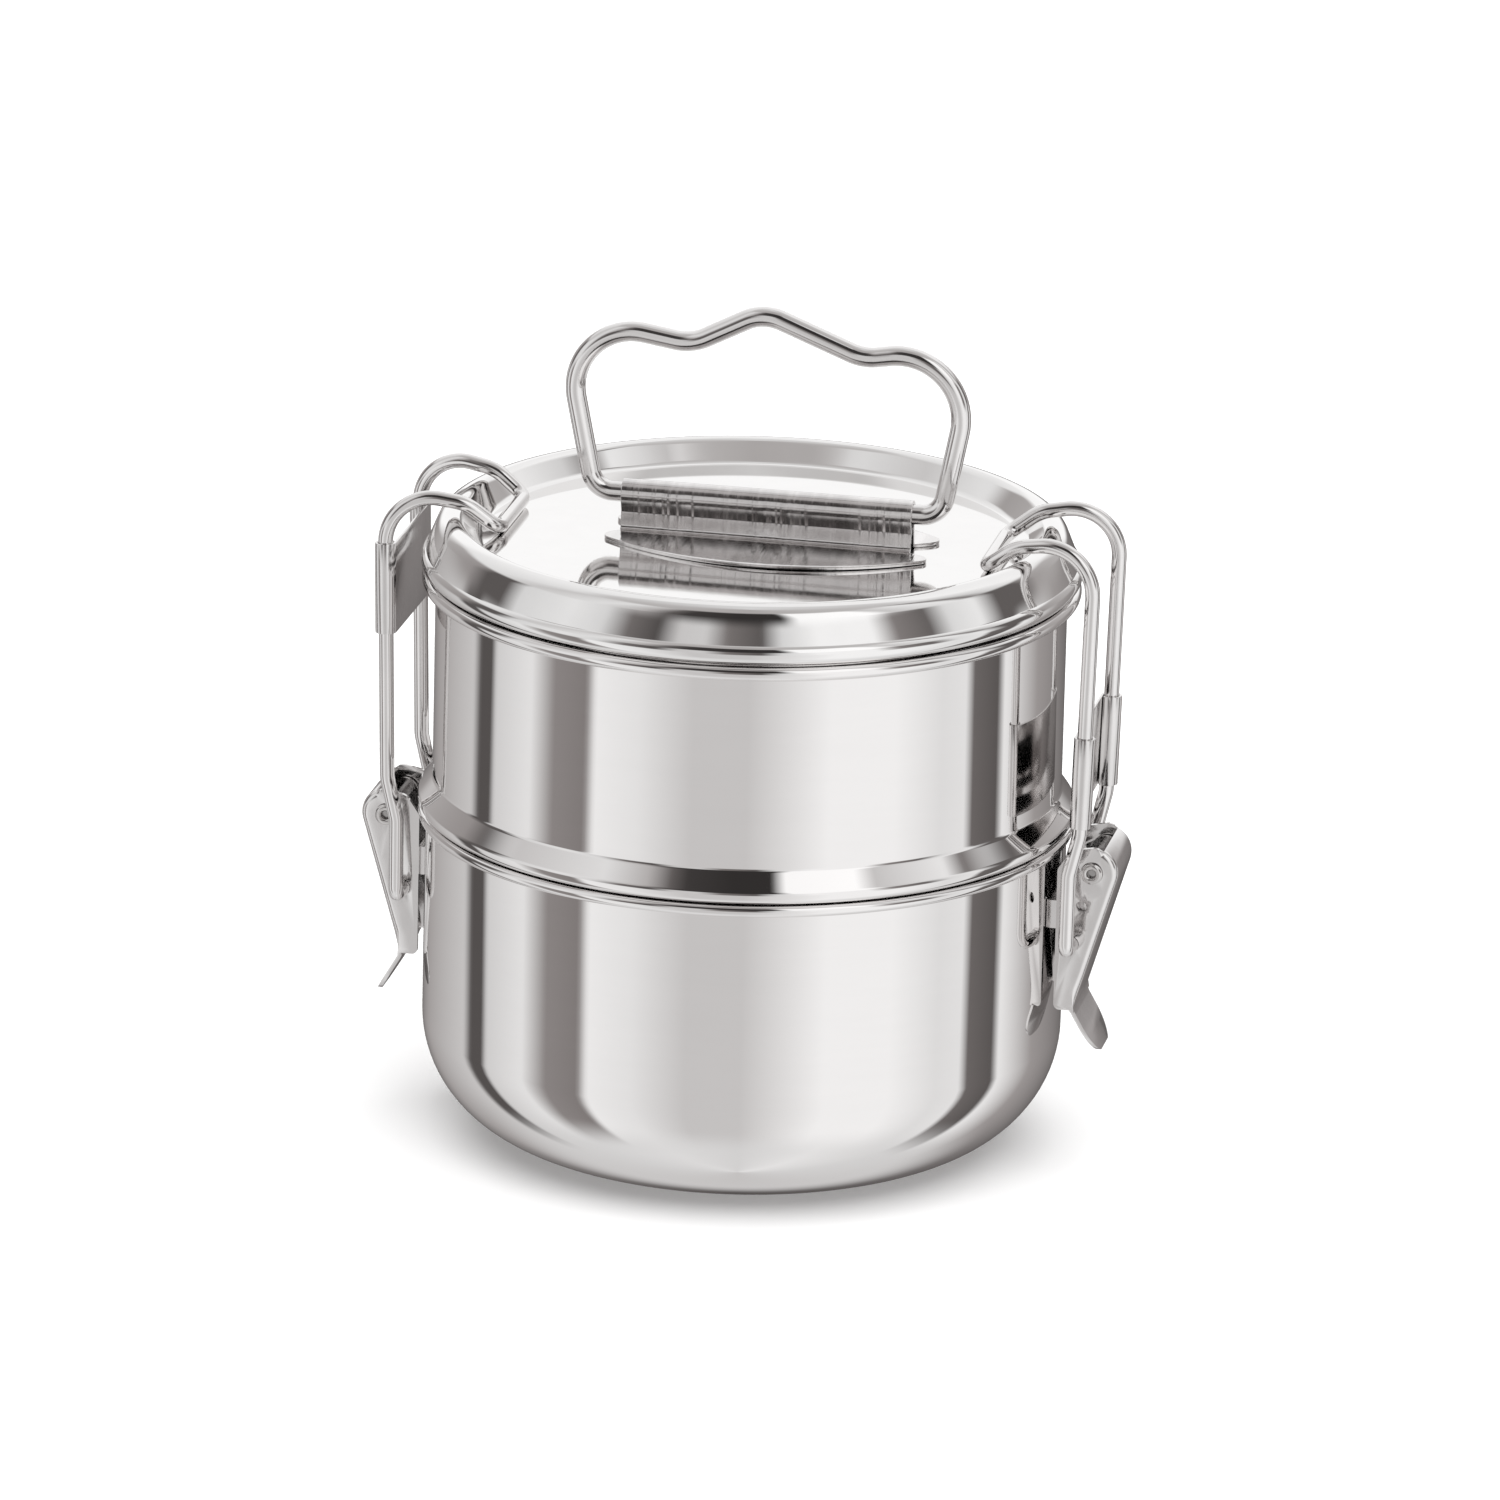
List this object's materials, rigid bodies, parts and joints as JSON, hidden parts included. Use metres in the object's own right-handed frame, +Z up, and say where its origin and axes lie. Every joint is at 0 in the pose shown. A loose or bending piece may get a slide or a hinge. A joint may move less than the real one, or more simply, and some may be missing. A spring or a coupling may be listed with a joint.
{
  "type": "tiffin carrier",
  "caption": "Round stacked lunch carrier of polished steel bowls under a recessed lid, held by side latches with wire loops, with a folding wire carry handle.",
  "frame": {"origin": "centre of the lower bowl's flat base, on the surface it stands on", "axes": "+Z up through the stack, X through the side latches and along the handle's hinge, Y is the depth"},
  "size_m": [0.1544, 0.1318, 0.1705],
  "materials": {
    "bowl_steel": "mirror-polished stainless steel",
    "lid_steel": "mirror-polished stainless steel",
    "pressed_steel": "bright pressed stainless sheet with fine draw lines",
    "wire_steel": "bright drawn stainless wire",
    "rivet_steel": "bright tubular rivet"
  },
  "bodies": {
    "lower_bowl": {"lower_bowl": "bowl_steel", "latch_bracket_left": "pressed_steel", "latch_bracket_right": "pressed_steel", "pivot_rivet_left": "rivet_steel", "pivot_rivet_right": "rivet_steel"},
    "upper_bowl": {"upper_bowl": "bowl_steel"},
    "lid": {"lid": "lid_steel", "handle_saddle": "pressed_steel"},
    "carry_handle": {"carry_handle": "wire_steel"},
    "latch_lever_left": {"latch_lever_left": "pressed_steel"},
    "wire_loop_left": {"wire_loop_left": "wire_steel"},
    "wire_keeper_left": {"wire_keeper_left": "pressed_steel"},
    "latch_lever_right": {"latch_lever_right": "pressed_steel"},
    "wire_loop_right": {"wire_loop_right": "wire_steel"},
    "wire_keeper_right": {"wire_keeper_right": "pressed_steel"}
  },
  "joints": [
    {"name": "upper_bowl_lift", "type": "slide", "parent": "lower_bowl", "child": "upper_bowl", "axis": [0, 0, 1], "range_m": [0, 0.08]},
    {"name": "lid_lift", "type": "slide", "parent": "upper_bowl", "child": "lid", "axis": [0, 0, 1], "range_m": [0, 0.06]},
    {"name": "handle_fold", "type": "hinge", "parent": "lid", "child": "carry_handle", "pos_m": [0.0029, 0, 0.1303], "axis": [1, 0, 0], "range_deg": [-88, 88]},
    {"name": "latch_left_open", "type": "hinge", "parent": "lower_bowl", "child": "latch_lever_left", "pos_m": [-0.072, 0, 0.0617], "axis": [0, 1, 0], "range_deg": [0, 115], "deforming": ["wire_loop_left"]},
    {"name": "wire_left_swing", "type": "hinge", "parent": "latch_lever_left", "child": "wire_loop_left", "pos_m": [-0.0683, 0, 0.0467], "axis": [0, -1, 0], "range_deg": [0, 163.5]},
    {"name": "keeper_left_slide", "type": "slide", "parent": "wire_loop_left", "child": "wire_keeper_left", "axis": [-0.0211, 0, 0.9998], "range_m": [-0.028, 0]},
    {"name": "latch_right_open", "type": "hinge", "parent": "lower_bowl", "child": "latch_lever_right", "pos_m": [0.072, 0, 0.0617], "axis": [0, -1, 0], "range_deg": [0, 115], "deforming": ["wire_loop_right"]},
    {"name": "wire_right_swing", "type": "hinge", "parent": "latch_lever_right", "child": "wire_loop_right", "pos_m": [0.0683, 0, 0.0467], "axis": [0, 1, 0], "range_deg": [0, 163.5]},
    {"name": "keeper_right_slide", "type": "slide", "parent": "wire_loop_right", "child": "wire_keeper_right", "axis": [0.0211, 0, 0.9998], "range_m": [0, 0.028]}
  ],
  "couplings": [
    {"joint": "wire_left_swing", "follows": "latch_left_open", "ratio": 1.4174},
    {"joint": "wire_right_swing", "follows": "latch_right_open", "ratio": 1.4174}
  ]
}
